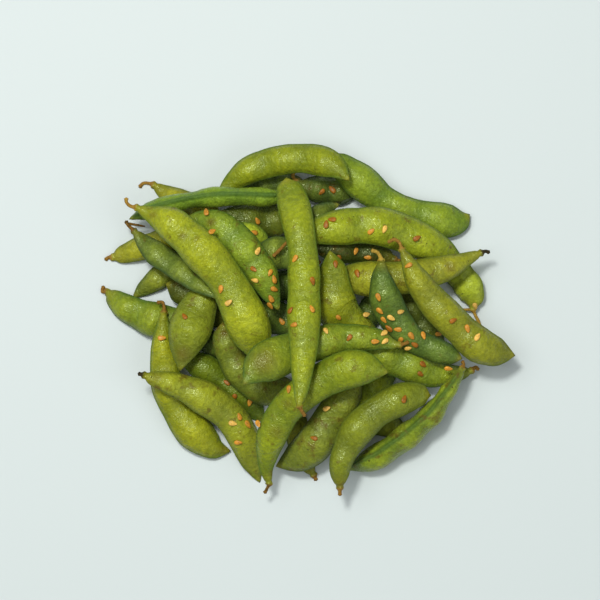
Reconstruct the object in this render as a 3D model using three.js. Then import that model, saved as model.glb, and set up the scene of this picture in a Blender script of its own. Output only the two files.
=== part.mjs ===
// A loose bundle of 44 cooked edamame pods, heaped flat on a table, with toasted
// sesame seeds on the pods. All lengths are in millimetres, +Z is up.
import * as THREE from 'three';

// Driving dimensions
const CLEARANCE = 0.35; // air left between one pod and the pod it lies on
const PRESSED_FLAT = 0.7; // how far the weight of the heap flattens a pod on the table
const STALK_RADIUS = 0.7; // the dry stalk that a pod was picked by
const NECK_RADIUS = 1.2; // the collar where the stalk joins the pod
const TIP_RADIUS = 0.5; // the small beak at the far end
const BEAN_DEPTH = 0.76; // thickness over width of a pod, across a bean
const WAIST_DEPTH = 0.6; // thickness over width, between two beans
const NARROWING = 0.95; // width between two beans, over their mean width
const SEAM_PINCH = 1.2; // how sharply the two halves meet at the seams
const STEEPEST = 0.3; // the steepest that a pod can lean, rise over run
const SOFTEST = 0.06; // how far a pod can bend up or down, over its length
const BENDS = 9; // how many bends are tried between fully down and fully up
const SLOPE_ROUNDS = 60; // how often the search for a pod's slope is narrowed
const DROOP_START = 0.72; // where along its length a sagging pod starts to droop
const SEED_LENGTH = 3.1;
const SEED_WIDTH = 1.8;
const SEED_THICKNESS = 1.0;
const SEED_TAPER = 0.32; // how much narrower a seed's pointed end is
const SEED_SIDES = 7;
const SEED_RINGS = 5;
const SEED_GAP = 0.2; // air left under a seed
const SEED_STEEPEST = 0.7; // the steepest that a seed can lie, rise over run

// Angles, in degrees, of the corners of a pod's section. The seams are at 0 and 180.
const ROUND_SECTION = [0, 45, 90, 135, 180, 225, 270, 315];
const RESTING_SECTION = [0, 45, 90, 135, 180, 220, 255, 285, 320];

// The height map that keeps track of the top of the heap
const MAP_CELL = 0.5;
const MAP_HALF = 100;
const MAP_COUNT = Math.round((2 * MAP_HALF) / MAP_CELL);
const SAMPLES_PER_SPAN = 20;
const SAMPLES_AROUND = 72;

const TONES = {
  lime: 0x98a52f,
  yellow: 0x9c9a35,
  green: 0x6d8a2b,
  olive: 0x74752a,
  dark: 0x4c5a20,
};
const SEED_TONES = [0xb98245, 0xd2a56b, 0x8f5a2c];
const POD_ROUGHNESS = 0.42;
const SEED_ROUGHNESS = 0.55;

// A pod swells at each bean and is thinner in between. Both take the middle of
// the pod and half its width as seen from above.
const bean = (x, y, half) => ({ x, y, half, depth: BEAN_DEPTH });
const waist = (x, y, half) => ({ x, y, half, depth: WAIST_DEPTH });

// The pods, in the order in which they are laid. The stalk runs from its dry end
// to the collar. Roll turns a pod about its length: 90 would stand it on a seam.
const PODS = [
  // These four lie under all the others
  {
    name: 'pod_bottom_23', tone: 'dark', roll: 0,
    stalk: [[13, -8], [14.2, -7]],
    body: [waist(16.5, -5, 3.2), bean(20.5, -0.5, 4.8), bean(25.5, 6, 4.8), waist(28.5, 10, 3.2)],
    tip: [31, 13.5],
  },
  {
    name: 'pod_bottom_20', tone: 'dark', roll: 0,
    stalk: [[1, 49], [-0.5, 49.2]],
    body: [
      waist(-3.5, 49.4, 2.8), bean(-8.5, 49.4, 3.8), bean(-15, 48.8, 3.8), waist(-20, 47.6, 2.8),
    ],
    tip: [-24, 46.2],
  },
  {
    name: 'pod_bottom_21', tone: 'dark', roll: 0,
    stalk: [[8.5, 13.4], [7, 13.6]],
    body: [
      waist(3.5, 13.5, 3.4), bean(-3.5, 12.8, 5.6), bean(-13.5, 11.2, 5.4), waist(-19.5, 9.8, 3.2),
    ],
    tip: [-23.5, 8.8],
  },
  {
    name: 'pod_bottom_22', tone: 'dark', roll: 0,
    stalk: [[-14, -16], [-15.5, -15.3]],
    body: [
      waist(-18.5, -13.8, 3.2), bean(-24.5, -11.6, 4.8), bean(-33, -9.2, 4.8), waist(-38, -8, 3.2),
    ],
    tip: [-42, -7.2],
  },
  {
    name: 'pod_bottom_01', tone: 'olive', roll: 0,
    stalk: [[-40, 26.5], [-42, 25]],
    body: [waist(-44.5, 22, 3.2), bean(-49, 19, 4.3), bean(-54.5, 14.5, 4.1), waist(-60, 10.5, 2.4)],
    tip: [-63, 8],
  },
  {
    name: 'pod_bottom_02', tone: 'olive', roll: 0,
    stalk: [[-24, -3], [-25.5, -2]],
    body: [waist(-28, 0, 4.2), bean(-33, 2.8, 5.4), bean(-41, 8, 5.4), waist(-47.5, 11.5, 4.2)],
    tip: [-50.8, 12.8],
  },
  {
    name: 'pod_bottom_03', tone: 'yellow', roll: 0,
    stalk: [[-73.5, 21.5], [-72, 22.5], [-71, 22.5]],
    body: [waist(-68.5, 23, 2.7), bean(-61, 25.5, 4.3), bean(-50, 29, 4.7), bean(-40, 31.5, 4.3)],
    tip: [-32.5, 33],
  },
  {
    name: 'pod_bottom_04', tone: 'yellow', roll: 0,
    stalk: [[-61, 48], [-59.5, 49.5], [-57.5, 49.5], [-56, 49]],
    body: [waist(-53, 47, 2.3), bean(-48, 44, 4), bean(-39.5, 41, 4.6), waist(-35, 39.5, 3.4)],
    tip: [-31, 38],
  },
  {
    name: 'pod_bottom_05', tone: 'olive', roll: 0,
    stalk: [[0, 38], [-2, 37.5]],
    body: [waist(-5, 37, 3.4), bean(-10, 35.8, 5.8), bean(-19, 36, 5.6), waist(-26.5, 37, 4.2)],
    tip: [-32, 38.5],
  },
  {
    name: 'pod_bottom_06', tone: 'green', roll: 0,
    stalk: [[-38, 29.5], [-36, 30]],
    body: [waist(-33.5, 30.5, 3.2), bean(-28.5, 31, 4.6), bean(-20.5, 29.5, 5.2), waist(-16.5, 27.5, 3.8)],
    tip: [-14, 25.5],
  },
  {
    name: 'pod_bottom_07', tone: 'dark', roll: 0,
    stalk: [[5, 20.5], [3, 21]],
    body: [waist(0, 22, 3.8), bean(-4.5, 23.4, 5.8), bean(-11, 24, 5.9), waist(-15.5, 24, 4)],
    tip: [-19, 23.5],
  },
  {
    name: 'pod_bottom_08', tone: 'dark', roll: 0,
    stalk: [[6, -5.5], [4.5, -5]],
    body: [waist(1.5, -3.8, 3.4), bean(-5, -1.2, 5.9), bean(-13, 1, 6.1), waist(-18.5, 1.8, 3.8)],
    tip: [-22, 3],
  },
  {
    name: 'pod_bottom_09', tone: 'dark', roll: 0,
    stalk: [[4.5, 52], [3, 54.5], [-0.5, 54.5], [-4, 54], [-5, 52], [-3.5, 50]],
    body: [waist(-1, 48.3, 3.2), bean(4.5, 47.2, 5), bean(12.5, 46.8, 5), waist(17.5, 47.5, 3.2)],
    tip: [21.5, 48],
  },
  {
    name: 'pod_bottom_10', tone: 'dark', roll: 0,
    stalk: [[-0.5, 24.5], [0, 26]],
    body: [waist(0.5, 28, 2.8), bean(2, 32, 4), bean(5, 37.7, 4.1), waist(8.8, 40.5, 1.9)],
    tip: [11.6, 41.4],
  },
  {
    name: 'pod_bottom_11', tone: 'olive', roll: 0,
    stalk: [[34, 21], [32, 21.6]],
    body: [waist(29, 22.5, 3), bean(24, 23.6, 4.3), bean(14, 24.8, 4.5), waist(7, 25.3, 3.6)],
    tip: [2.5, 25.8],
  },
  {
    name: 'pod_bottom_12', tone: 'dark', roll: 0,
    stalk: [[13, -30], [14.5, -31.5]],
    body: [waist(18, -34, 3.2), bean(23, -37, 4.8), bean(30, -38.5, 4.4), waist(34, -39.5, 2.6)],
    tip: [36.5, -40],
  },
  {
    name: 'pod_bottom_13', tone: 'olive', roll: 0,
    stalk: [[3.6, -58.9], [2.7, -57]],
    body: [
      waist(0.6, -53.7, 2.5), waist(-1, -49.5, 3.6), bean(-2.5, -44, 4.6), bean(-4.5, -36.5, 4.2),
    ],
    tip: [-7, -29.5],
  },
  {
    name: 'pod_bottom_14', tone: 'lime', roll: 0,
    stalk: [[-47, -11], [-45.5, -12]],
    body: [
      waist(-41.5, -15, 3.8), bean(-36.2, -18.3, 5.1), bean(-25.5, -26.5, 4.8),
      waist(-20, -32, 4.4),
    ],
    tip: [-15.5, -37.5],
  },
  {
    name: 'pod_bottom_15', tone: 'green', roll: 0,
    stalk: [[12, -37.5], [13.5, -36]],
    body: [waist(16, -33, 3.2), bean(20, -28.5, 4.7), bean(26, -23.5, 4.5), waist(30.5, -19.5, 2.9)],
    tip: [34, -17.5],
  },
  {
    name: 'pod_bottom_16', tone: 'olive', roll: 0,
    stalk: [[31.5, 12], [33, 10]],
    body: [waist(35.5, 7.5, 2.9), bean(38.5, 3, 4.7), bean(44.5, -4.5, 4.7), waist(47.5, -8.5, 3.2)],
    tip: [50.5, -11.5],
  },
  {
    name: 'pod_bottom_17', tone: 'yellow', roll: 20,
    stalk: [[63.5, -3.5], [62.7, -1], [61.4, 1.5], [60.7, 3.5]],
    body: [
      waist(60.7, 6.8, 3.7), bean(58.9, 11.7, 5.4), bean(54.5, 17.5, 5.2), waist(51, 21.5, 3.2),
    ],
    tip: [48, 25],
  },
  {
    name: 'pod_bottom_18', tone: 'green', roll: 0,
    stalk: [[4.5, 60.5], [7, 59]],
    body: [
      waist(11, 56.5, 4), bean(20, 49.5, 6.4), waist(27, 44, 5.2), bean(34, 40.5, 4.7),
      bean(48.5, 36, 6.4), waist(54.5, 35.8, 5.3), waist(57.4, 36.7, 3.3),
    ],
    tip: [59.1, 37.9],
  },
  {
    name: 'pod_bottom_19', tone: 'green', roll: -15,
    stalk: [[-74, 12], [-74.5, 10], [-73, 10]],
    body: [
      waist(-70.8, 8.2, 3), bean(-66.3, 4.6, 4.9), bean(-56.2, 0, 6.5), waist(-50.5, -1, 5.8),
      bean(-45, -2, 4.7),
    ],
    tip: [-36.5, -3.5],
  },
  {
    name: 'pod_middle_01', tone: 'lime', roll: 0,
    stalk: [[-54, 6], [-52, 6], [-51.5, 4.5], [-51.5, 2.5]],
    body: [
      waist(-52, -3.5, 2.6), bean(-52.2, -10, 4), waist(-51.4, -17.5, 5.2),
      bean(-50.4, -24.8, 5.7), waist(-47.5, -32.5, 5.1), bean(-40.5, -41.2, 6.7),
      waist(-33, -47.2, 3.8),
    ],
    tip: [-28, -48],
  },
  {
    name: 'pod_middle_02', tone: 'lime', roll: 0,
    stalk: [[-34, 43], [-32, 44.5]],
    body: [
      waist(-28.5, 48, 2.7), bean(-21.5, 53.5, 4.8), waist(-15, 56, 5.2), bean(-8.5, 57.5, 5.3),
      waist(-2, 58, 5.2), bean(5, 57, 5.5), waist(10.5, 54.5, 4.3),
    ],
    tip: [15, 50],
  },
  {
    name: 'pod_middle_03', tone: 'lime', roll: 0,
    stalk: [[-12, 22.5], [-9.5, 25], [-7, 27.5], [-5, 28.5]],
    body: [
      waist(1, 31, 4), bean(12, 33, 6.4), bean(26, 33.5, 6.9), waist(36, 30.5, 6.7),
      bean(43, 27.4, 6.3), waist(51, 23.5, 4.3),
    ],
    tip: [56.8, 20.8],
  },
  {
    name: 'pod_middle_04', tone: 'yellow', roll: 0,
    stalk: [[66, 24], [64.5, 24.5], [63, 24]],
    body: [
      waist(58.5, 22, 2.3), bean(53, 19.5, 4), waist(47, 17.5, 5.1), bean(39, 15.5, 5.9),
      bean(23, 14.5, 6.4), waist(15, 15, 4.7),
    ],
    tip: [7.5, 16],
  },
  {
    name: 'pod_middle_05', tone: 'lime', roll: 0,
    stalk: [[30, -14], [28, -12.5]],
    body: [
      waist(24.5, -9.5, 3.6), bean(19.5, -4.5, 5.4), bean(10.9, 4.2, 7.7), waist(9.4, 13, 6.1),
      bean(9.3, 18.8, 4.6),
    ],
    tip: [8.3, 24.3],
  },
  {
    name: 'pod_middle_06', tone: 'green', roll: 0,
    stalk: [[62.5, -18.5], [61.5, -17.5], [60, -18.5]],
    body: [
      waist(56.5, -19.5, 2.4), bean(51.5, -20, 3.7), waist(46, -19.7, 5.1), bean(39, -17, 6.5),
      bean(29, -13.5, 5.8), waist(23.5, -10.5, 3.4),
    ],
    tip: [18.5, -8],
  },
  {
    name: 'pod_middle_07', tone: 'olive', roll: 0,
    stalk: [[-2, -23.5], [-3.5, -23.8]],
    body: [
      waist(-8, -25, 4.4), bean(-15, -25.5, 5.8), bean(-24.5, -18.5, 5.4), bean(-28.7, -9, 5.1),
      waist(-29.8, -4.6, 3.8),
    ],
    tip: [-30.2, -1.4],
  },
  {
    name: 'pod_middle_08', tone: 'yellow', roll: 0,
    stalk: [[-29, 18], [-30, 16]],
    body: [
      waist(-33, 12.5, 3.6), bean(-36.5, 8.5, 5.4), waist(-39, 4, 6.7), bean(-41.8, -3, 7.7),
      waist(-44, -10.5, 5.4),
    ],
    tip: [-45.5, -18.2],
  },
  {
    name: 'pod_middle_09', tone: 'olive', roll: 0,
    stalk: [[20.5, -20], [19, -21]],
    body: [
      waist(16, -24.8, 4.8), bean(12.2, -30.5, 6), waist(8, -36.8, 6.1), bean(2.3, -45.6, 6.8),
      waist(-4.4, -50.6, 5.1),
    ],
    tip: [-10.8, -53.3],
  },
  {
    name: 'pod_middle_10', tone: 'dark', roll: 25,
    stalk: [[-65.5, 35.5], [-64.5, 34], [-62.5, 32]],
    body: [
      waist(-59, 28, 2.9), bean(-54.5, 24, 4.6), bean(-45, 17.5, 4.6), bean(-39, 13, 3.6),
    ],
    tip: [-31.5, 7.5],
  },
  {
    name: 'pod_middle_11', tone: 'green', roll: 0,
    stalk: [[-46, 34.5], [-44, 35]],
    body: [
      waist(-38.5, 35.5, 3.4), bean(-32.5, 34, 5.2), waist(-27.5, 30.2, 6.1),
      bean(-21.8, 24.4, 6.1), bean(-15.8, 16.1, 5.6), waist(-12.6, 8.8, 3.4),
    ],
    tip: [-10, 3.5],
  },
  {
    name: 'pod_middle_12', tone: 'green', roll: 80,
    stalk: [[-2, 43.5], [-4, 43.5]],
    body: [
      waist(-8.5, 44, 2.2), bean(-15.5, 44, 3.4), bean(-33.5, 44, 3.8), waist(-40.5, 43, 3.2),
      bean(-49, 41.5, 3.3), waist(-57.5, 38.7, 3.4),
    ],
    tip: [-63.8, 36.3],
  },
  {
    name: 'pod_middle_13', tone: 'yellow', roll: 10,
    stalk: [[-60.5, -19.5], [-58.5, -20]],
    body: [
      waist(-56, -21, 2.3), bean(-49, -23, 4.1), bean(-37.5, -28, 6.1), waist(-28, -35, 5.7),
      bean(-23.2, -42.5, 5.7), waist(-19.8, -52, 4),
    ],
    tip: [-17.2, -59.3],
  },
  {
    name: 'pod_middle_14', tone: 'green', roll: 75,
    stalk: [[56, -15], [56.5, -16], [56, -17.5]],
    body: [
      waist(54, -21.5, 2.4), bean(51, -26, 3), bean(45.3, -34.1, 4.4), bean(36.3, -42.3, 5),
      bean(25.9, -49.8, 4.8), waist(20.2, -52.5, 3.8),
    ],
    tip: [14.8, -54.6],
  },
  {
    name: 'pod_top_01', tone: 'dark', roll: -12,
    stalk: [[23, 24.5], [25, 24], [26.5, 21]],
    body: [
      waist(26.5, 16, 3.2), bean(28, 8, 5.7), waist(30.5, 2, 5.8), bean(37, -6.3, 4.9),
      bean(48.3, -11.8, 4.3), waist(53, -13.3, 3),
    ],
    tip: [55.6, -14.1],
  },
  {
    name: 'pod_top_02', tone: 'yellow', roll: 0,
    stalk: [[29, 27.5], [31.5, 28.5], [33, 27.5], [34, 25]],
    body: [
      waist(36, 21, 2.3), bean(39, 15, 4.2), waist(45.5, 6, 5.6), bean(50, 1.5, 5.9),
      bean(62, -9.3, 6.4), waist(70, -12.2, 4.5),
    ],
    tip: [74.8, -13],
  },
  {
    name: 'pod_top_03', tone: 'lime', roll: 0,
    stalk: [[-64.5, 43.5], [-64.5, 42], [-63, 40.5], [-61, 40]],
    body: [
      waist(-56.5, 38, 2.7), bean(-49, 34.5, 5.9), bean(-37, 24, 7.3), waist(-29, 14.5, 6.4),
      bean(-21, -1.5, 7.7), waist(-18.5, -9, 5.8),
    ],
    tip: [-17.5, -15.5],
  },
  {
    name: 'pod_top_04', tone: 'green', roll: 0,
    stalk: [[36.5, -8], [35.5, -8.5], [33.5, -9]],
    body: [
      waist(30.5, -8.8, 1.9), waist(26.5, -7.4, 3.5), bean(19, -6.6, 4.7), bean(9.5, -7.2, 5.7),
      waist(-1.5, -10.3, 6.2), bean(-12, -14, 7.4), waist(-17.4, -17.4, 6),
    ],
    tip: [-22.2, -22.8],
  },
  {
    name: 'pod_top_05', tone: 'lime', roll: 0,
    stalk: [[-15.2, -63], [-14.3, -61.3], [-13.6, -59.5]],
    body: [
      waist(-14.5, -54.5, 2.3), bean(-13, -43.5, 5.2), waist(-8, -33, 5.7), bean(-2.5, -27.5, 6),
      waist(6, -21.5, 6.2), bean(16, -17.5, 6.8), waist(22.8, -17.6, 5),
    ],
    tip: [28.6, -18.8],
  },
  {
    name: 'pod_top_06', tone: 'yellow', roll: 0,
    stalk: [[12, -63.5], [12, -60.8]],
    body: [
      waist(11.9, -56.3, 3.2), bean(12.3, -51.5, 4.1), waist(14, -47, 4.6), bean(18, -40, 5.9),
      waist(25.5, -33, 5.5), bean(33, -29, 5.9), waist(39.3, -27.4, 4.7), waist(42.6, -27.3, 3.2),
    ],
    tip: [44.3, -27.4],
  },
  {
    name: 'pod_top_07', tone: 'lime', roll: 0, sag: 9,
    stalk: [[-0.5, -34], [-1.5, -32.5], [-2.5, -30.5]],
    body: [
      waist(-2, -24.5, 2.7), bean(-1.5, -16, 4.2), waist(-1, -9, 5.1), bean(-1, 2, 6),
      bean(-1, 16, 5.8), waist(-1.5, 25, 5.1), bean(-3.8, 37.5, 5.8), waist(-5.6, 44.5, 5.3),
      waist(-6.8, 48.5, 3.7),
    ],
    tip: [-7.2, 50.5],
  },
];

// Sesame seeds that lie on the pods: middle of the seed, and the way it points
const SEEDS = [
  [-36, 38.5, 100], [-33.5, 31.5, 30], [-17.3, 24.5, 60], [-27.7, 6.1, 35],
  [2.2, 13.7, -75], [7, 34, 85], [39.6, 29.2, 30], [25.6, 7.9, -70], [21.6, 1.8, 20],
  [30.2, 0.4, -30], [24.5, -7.9, 0], [51, -17.8, -10], [35, -28.5, 70], [7.2, -32, 20],
  [-52.2, -6.8, 0], [-17.3, -37.4, -60],
];

const radians = THREE.MathUtils.degToRad;

// The top of the heap so far, as a square map of heights over the table
const heightMap = new Float64Array(MAP_COUNT * MAP_COUNT);

function cellOf(x, y) {
  const column = Math.floor((x + MAP_HALF) / MAP_CELL);
  const row = Math.floor((y + MAP_HALF) / MAP_CELL);
  return row * MAP_COUNT + column;
}

function raiseTop(x, y, z) {
  const cell = cellOf(x, y);
  heightMap[cell] = Math.max(heightMap[cell], z);
}

function topNear(x, y) {
  const middle = cellOf(x, y);
  let top = 0;
  for (const rowStep of [-MAP_COUNT, 0, MAP_COUNT]) {
    for (const columnStep of [-1, 0, 1]) {
      top = Math.max(top, heightMap[middle + rowStep + columnStep]);
    }
  }
  return top;
}

// The widths along a pod, from the dry end of the stalk to the tip. Two beans
// that follow each other get a waist between them.
function knotsOf(pod) {
  const knots = pod.stalk.map(([x, y]) => ({ x, y, half: STALK_RADIUS, depth: 1 }));
  knots[knots.length - 1].half = NECK_RADIUS;
  const neck = knots.length - 1;
  pod.body.forEach((part, index) => {
    const before = pod.body[index - 1];
    if (before && before.depth === BEAN_DEPTH && part.depth === BEAN_DEPTH) {
      const half = (NARROWING * (before.half + part.half)) / 2;
      knots.push({ x: NaN, y: NaN, half, depth: WAIST_DEPTH, between: [before, part] });
    }
    knots.push({ ...part });
  });
  knots.push({ x: pod.tip[0], y: pod.tip[1], half: TIP_RADIUS, depth: 1 });
  smoothInWaists(knots);
  return { knots, neck };
}

// A waist between two beans lies on the smooth curve through the other points
function smoothInWaists(knots) {
  const given = knots.filter((knot) => !knot.between);
  const line = new THREE.CatmullRomCurve3(
    given.map((knot) => new THREE.Vector3(knot.x, knot.y, 0)),
    false,
    'centripetal',
  );
  for (const knot of knots.filter((one) => one.between)) {
    const first = given.findIndex((one) => one.x === knot.between[0].x && one.y === knot.between[0].y);
    const middle = line.getPoint((first + 0.5) / (given.length - 1));
    knot.x = middle.x;
    knot.y = middle.y;
  }
}

// The smooth pod: the middle, the tangent and the two half axes of its section
// at any place along it. Place counts knots: 2.5 is midway between knots 2 and 3.
function smoothPod(pod) {
  const { knots, neck } = knotsOf(pod);
  const roll = radians(pod.roll);
  const spine = new THREE.CatmullRomCurve3(
    knots.map((knot) => new THREE.Vector3(knot.x, knot.y, 0)),
    false,
    'centripetal',
  );
  const girth = new THREE.CatmullRomCurve3(
    knots.map((knot) => {
      const seen = Math.hypot(Math.cos(roll), knot.depth * Math.sin(roll));
      const wide = knot.half / seen;
      return new THREE.Vector3(wide, wide * knot.depth, 0);
    }),
    false,
    'catmullrom',
    0.5,
  );
  const last = knots.length - 1;
  const sectionAt = (place) => {
    const middle = spine.getPoint(place / last);
    const ahead = spine.getTangent(place / last);
    const size = girth.getPoint(place / last);
    const side = new THREE.Vector3(ahead.y, -ahead.x, 0).normalize();
    return { middle, side, wide: Math.max(size.x, TIP_RADIUS), thick: Math.max(size.y, TIP_RADIUS) };
  };
  const pointAt = (section, angle) => {
    const across = section.wide * Math.cos(angle);
    const rise = section.thick * Math.sign(Math.sin(angle)) * Math.abs(Math.sin(angle)) ** SEAM_PINCH;
    const sideways = across * Math.cos(roll) - rise * Math.sin(roll);
    const up = across * Math.sin(roll) + rise * Math.cos(roll);
    return section.middle.clone().addScaledVector(section.side, sideways).setZ(section.middle.z + up);
  };
  return { knots, neck, last, sectionAt, pointAt };
}

// A pod that is given a sag droops by that much at its far end
function droopAt(along, length, sag) {
  return -sag * THREE.MathUtils.smoothstep(along / length, DROOP_START, 1);
}

// Samples of a pod's skin, each with how far along the pod it is
function skinSamples(pod, smooth) {
  const samples = [];
  const steps = smooth.last * SAMPLES_PER_SPAN;
  let along = 0;
  let before = null;
  for (let step = 0; step <= steps; step += 1) {
    const section = smooth.sectionAt(step / SAMPLES_PER_SPAN);
    along += before ? section.middle.distanceTo(before) : 0;
    before = section.middle;
    for (let turn = 0; turn < SAMPLES_AROUND; turn += 1) {
      const point = smooth.pointAt(section, (2 * Math.PI * turn) / SAMPLES_AROUND);
      samples.push({ along, point, place: step / SAMPLES_PER_SPAN });
    }
  }
  for (const sample of samples) {
    sample.point.z += droopAt(sample.along, along, pod.sag ?? 0);
  }
  return { samples, length: along };
}

// The straight line over all the needed heights that is lowest at the pod's middle
function restingLine(needs, length) {
  const middle = length / 2;
  const heightFor = (slope) => {
    let height = -Infinity;
    for (const need of needs) {
      height = Math.max(height, need.height - slope * (need.along - middle));
    }
    return height;
  };
  let low = -STEEPEST;
  let high = STEEPEST;
  for (let round = 0; round < SLOPE_ROUNDS; round += 1) {
    const third = (high - low) / 3;
    if (heightFor(low + third) < heightFor(high - third)) {
      high -= third;
    } else {
      low += third;
    }
  }
  const slope = (low + high) / 2;
  return { slope, start: heightFor(slope) - slope * middle };
}

// How far a bent pod is above its straight line: nothing in the middle, most at the ends
function bendAt(along, length, bend) {
  return bend * (2 * (along / length) - 1) ** 2;
}

// The bend and the line that let a pod lie lowest on what is under it
function restingShape(needs, length) {
  let best = null;
  for (let step = 0; step < BENDS; step += 1) {
    const bend = SOFTEST * length * ((2 * step) / (BENDS - 1) - 1);
    const flattened = needs.map((need) => ({
      along: need.along,
      height: need.height - bendAt(need.along, length, bend),
    }));
    const line = restingLine(flattened, length);
    const meanHeight = line.start + (line.slope * length) / 2 + bend / 3;
    if (!best || meanHeight < best.meanHeight) {
      best = { ...line, bend, meanHeight };
    }
  }
  return best;
}

// Lays a pod on the heap, and raises the map by it
function settle(pod, smooth) {
  const { samples, length } = skinSamples(pod, smooth);
  const needs = new Map();
  for (const { along, point } of samples) {
    const top = topNear(point.x, point.y);
    const under = top > 0 ? top + CLEARANCE : -PRESSED_FLAT;
    const height = under - point.z;
    if (!needs.has(along) || needs.get(along).height < height) {
      needs.set(along, { along, height });
    }
  }
  const shape = restingShape([...needs.values()], length);
  const liftOf = (along) => shape.start + shape.slope * along + bendAt(along, length, shape.bend);
  for (const { along, point } of samples) {
    raiseTop(point.x, point.y, point.z + liftOf(along));
  }
  const lengthAt = (place) => {
    let nearest = samples[0];
    for (const sample of samples) {
      if (Math.abs(sample.place - place) < Math.abs(nearest.place - place)) {
        nearest = sample;
      }
    }
    return nearest.along;
  };
  return (place) => {
    const along = lengthAt(place);
    return liftOf(along) + droopAt(along, length, pod.sag ?? 0);
  };
}

// A closed skin through rings of points, with a single point at each end
function loft(rings, startPoint, endPoint) {
  const sides = rings[0].length;
  const points = [startPoint, ...rings.flat(), endPoint];
  const end = points.length - 1;
  const triangles = [];
  for (let side = 0; side < sides; side += 1) {
    const next = (side + 1) % sides;
    triangles.push(0, 1 + side, 1 + next);
    for (let ring = 0; ring < rings.length - 1; ring += 1) {
      const near = 1 + ring * sides;
      const far = near + sides;
      triangles.push(near + side, far + next, near + next);
      triangles.push(near + side, far + side, far + next);
    }
    const lastRing = 1 + (rings.length - 1) * sides;
    triangles.push(lastRing + side, end, lastRing + next);
  }
  const geometry = new THREE.BufferGeometry().setFromPoints(points);
  geometry.setIndex(triangles);
  geometry.computeVertexNormals();
  return geometry;
}

function buildPod(pod) {
  const smooth = smoothPod(pod);
  const liftAt = settle(pod, smooth);
  const corners = pod.name.startsWith('pod_bottom') ? RESTING_SECTION : ROUND_SECTION;
  const places = [];
  for (let place = 0; place < smooth.last; place += 1) {
    places.push(place);
    if (place >= smooth.neck) {
      places.push(place + 0.5);
    }
  }
  places.push(smooth.last);
  const rings = places.map((place) => {
    const section = smooth.sectionAt(place);
    const lift = liftAt(place);
    return corners.map((corner) => {
      const point = smooth.pointAt(section, radians(corner));
      return point.setZ(Math.max(point.z + lift, 0));
    });
  });
  const poleAt = (place, reach) => {
    const { middle, side } = smooth.sectionAt(place);
    const ahead = new THREE.Vector3(-side.y, side.x, 0);
    return middle.addScaledVector(ahead, reach).setZ(Math.max(middle.z + liftAt(place), 0));
  };
  const geometry = loft(rings, poleAt(0, -TIP_RADIUS / 2), poleAt(smooth.last, TIP_RADIUS));
  const material = new THREE.MeshStandardMaterial({
    color: TONES[pod.tone],
    roughness: POD_ROUGHNESS,
    metalness: 0,
  });
  const mesh = new THREE.Mesh(geometry, material);
  mesh.name = pod.name;
  return mesh;
}

// A flat teardrop with its point towards +X
function seedGeometry() {
  const geometry = new THREE.SphereGeometry(1, SEED_SIDES, SEED_RINGS);
  geometry.rotateZ(-Math.PI / 2);
  const corners = geometry.attributes.position;
  for (let index = 0; index < corners.count; index += 1) {
    const along = corners.getX(index);
    const narrower = 1 - SEED_TAPER * along;
    corners.setXYZ(
      index,
      (along * SEED_LENGTH) / 2,
      (corners.getY(index) * narrower * SEED_WIDTH) / 2,
      (corners.getZ(index) * narrower * SEED_THICKNESS) / 2,
    );
  }
  return geometry;
}

// A seed lies along the slope of the pod beneath it
function buildSeed([x, y, heading], index) {
  const reach = SEED_LENGTH / 3;
  const slope = new THREE.Vector2(
    (topNear(x + reach, y) - topNear(x - reach, y)) / (2 * reach),
    (topNear(x, y + reach) - topNear(x, y - reach)) / (2 * reach),
  );
  slope.clampLength(0, SEED_STEEPEST);
  const upright = new THREE.Vector3(-slope.x, -slope.y, 1).normalize();
  const material = new THREE.MeshStandardMaterial({
    color: SEED_TONES[index % SEED_TONES.length],
    roughness: SEED_ROUGHNESS,
    metalness: 0,
  });
  const mesh = new THREE.Mesh(seedGeometry(), material);
  mesh.name = `sesame_seed_${String(index + 1).padStart(2, '0')}`;
  const lean = new THREE.Quaternion().setFromUnitVectors(new THREE.Vector3(0, 0, 1), upright);
  const spin = new THREE.Quaternion().setFromAxisAngle(new THREE.Vector3(0, 0, 1), radians(heading));
  mesh.quaternion.copy(lean.multiply(spin));
  mesh.position.set(x, y, 0);
  mesh.updateMatrixWorld();
  const corner = new THREE.Vector3();
  const corners = mesh.geometry.attributes.position;
  let rise = 0;
  for (let place = 0; place < corners.count; place += 1) {
    corner.fromBufferAttribute(corners, place).applyMatrix4(mesh.matrixWorld);
    rise = Math.max(rise, topNear(corner.x, corner.y) + SEED_GAP - corner.z);
  }
  mesh.position.z = rise;
  return mesh;
}

const heap = new THREE.Group();
for (const pod of PODS) {
  heap.add(buildPod(pod));
}
SEEDS.forEach((seed, index) => heap.add(buildSeed(seed, index)));

// The origin is on the table, under the middle of the heap
const extent = new THREE.Box3().setFromObject(heap);
const centre = extent.getCenter(new THREE.Vector3());
heap.position.set(-centre.x, -centre.y, -extent.min.z);

const group = new THREE.Group();
group.add(heap);
group.updateMatrixWorld(true);

export default group;
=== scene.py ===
import math
import random

import bmesh
import bpy
import numpy as np
from mathutils import Matrix, Vector, noise
from mathutils.bvhtree import BVHTree


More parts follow.
